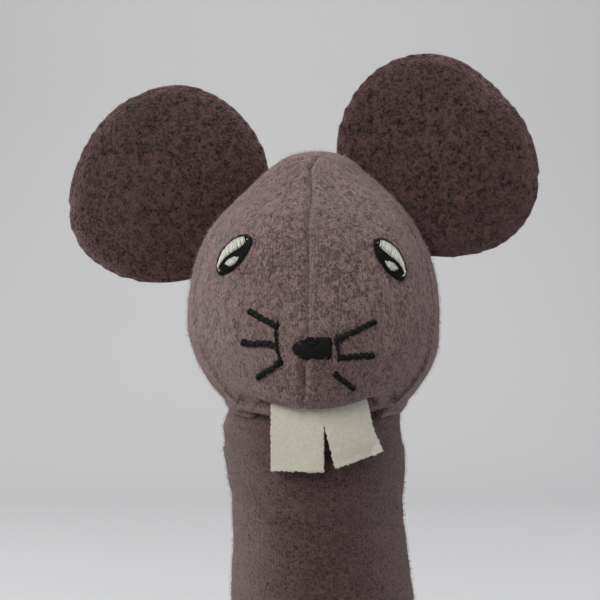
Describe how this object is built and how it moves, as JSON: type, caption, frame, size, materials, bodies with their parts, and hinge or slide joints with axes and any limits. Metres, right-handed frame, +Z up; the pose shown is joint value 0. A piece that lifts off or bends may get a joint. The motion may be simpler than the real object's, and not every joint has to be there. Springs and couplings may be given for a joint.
{
  "type": "mouse sock puppet",
  "caption": "Knitted hand puppet of a mouse: a sleeve for the forearm, a stuffed head with an opening mouth, felt ears and teeth, and stitched eyes, nose and whiskers.",
  "frame": {"origin": "centre of the cuff's lower opening, where the hand goes in", "axes": "+Z up along the sleeve towards the crown, -Y the way the face looks, +X towards the viewer's right"},
  "size_m": [0.1691, 0.1006, 0.3053],
  "materials": {
    "head_knit": "matte",
    "sleeve_knit": "matte",
    "ear_felt": "matte",
    "wadding": "matte",
    "lining": "matte",
    "card": "matte",
    "teeth_felt": "matte",
    "black_thread": "satin",
    "white_thread": "satin",
    "seam_thread": "matte"
  },
  "bodies": {
    "cuff": {"sleeve_cuff": "sleeve_knit", "sleeve_lower": "sleeve_knit"},
    "forearm": {"sleeve_middle": "sleeve_knit"},
    "wrist": {"sleeve_wrist": "sleeve_knit"},
    "head": {"sleeve_neck": "sleeve_knit", "throat_fold": "sleeve_knit", "face_left": "head_knit", "face_right": "head_knit", "head_back": "head_knit", "centre_seam": "seam_thread", "face_seam": "seam_thread", "finger_pocket": "lining", "head_stuffing": "wadding", "upper_mouth_lining": "lining", "upper_mouth_board": "card", "nose": "black_thread", "eye_left_ground": "black_thread", "eye_left_highlight": "white_thread", "eye_left_glint": "white_thread", "eye_right_ground": "black_thread", "eye_right_highlight": "white_thread", "eye_right_glint": "white_thread", "whisker_left_top": "black_thread", "whisker_left_middle": "black_thread", "whisker_left_bottom": "black_thread", "whisker_left_link": "black_thread", "whisker_right_top": "black_thread", "whisker_right_middle": "black_thread", "whisker_right_bottom": "black_thread", "whisker_right_link": "black_thread", "ear_left_root": "seam_thread", "ear_right_root": "seam_thread"},
    "jaw": {"lower_mouth_lining": "lining", "lower_mouth_board": "card", "lower_lip": "head_knit"},
    "teeth": {"teeth_felt": "teeth_felt"},
    "ear_left": {"ear_left_front": "ear_felt", "ear_left_back": "ear_felt", "ear_left_wadding": "wadding"},
    "ear_right": {"ear_right_front": "ear_felt", "ear_right_back": "ear_felt", "ear_right_wadding": "wadding"}
  },
  "joints": [
    {"name": "sleeve_turn", "type": "hinge", "parent": "cuff", "child": "forearm", "pos_m": [0, 0, 0.045], "axis": [0, 0, 1], "range_deg": [-35, 35]},
    {"name": "head_tilt", "type": "hinge", "parent": "forearm", "child": "wrist", "pos_m": [0, 0, 0.088], "axis": [0, 1, 0], "range_deg": [-15, 15]},
    {"name": "head_nod", "type": "hinge", "parent": "wrist", "child": "head", "pos_m": [0, 0, 0.132], "axis": [1, 0, 0], "range_deg": [-20, 25]},
    {"name": "jaw_open", "type": "hinge", "parent": "head", "child": "jaw", "pos_m": [0, 0.008, 0.18], "axis": [1, 0, 0], "range_deg": [0, 15], "stiffness_Nm_per_rad": 0.03, "springref_deg": -8.59, "deforming": ["throat_fold"]},
    {"name": "teeth_flap", "type": "hinge", "parent": "head", "child": "teeth", "pos_m": [0, -0.038, 0.1805], "axis": [-1, 0, 0], "range_deg": [0, 50], "stiffness_Nm_per_rad": 0.0005},
    {"name": "ear_left_flap", "type": "hinge", "parent": "head", "child": "ear_left", "pos_m": [-0.0332, 0.0035, 0.2454], "axis": [0.6091, 0, 0.7931], "range_deg": [-20, 20], "stiffness_Nm_per_rad": 0.02, "deforming": ["ear_left_root"]},
    {"name": "ear_right_flap", "type": "hinge", "parent": "head", "child": "ear_right", "pos_m": [0.0288, 0.0035, 0.2506], "axis": [0.677, 0, -0.736], "range_deg": [-20, 20], "stiffness_Nm_per_rad": 0.02, "deforming": ["ear_right_root"]}
  ]
}
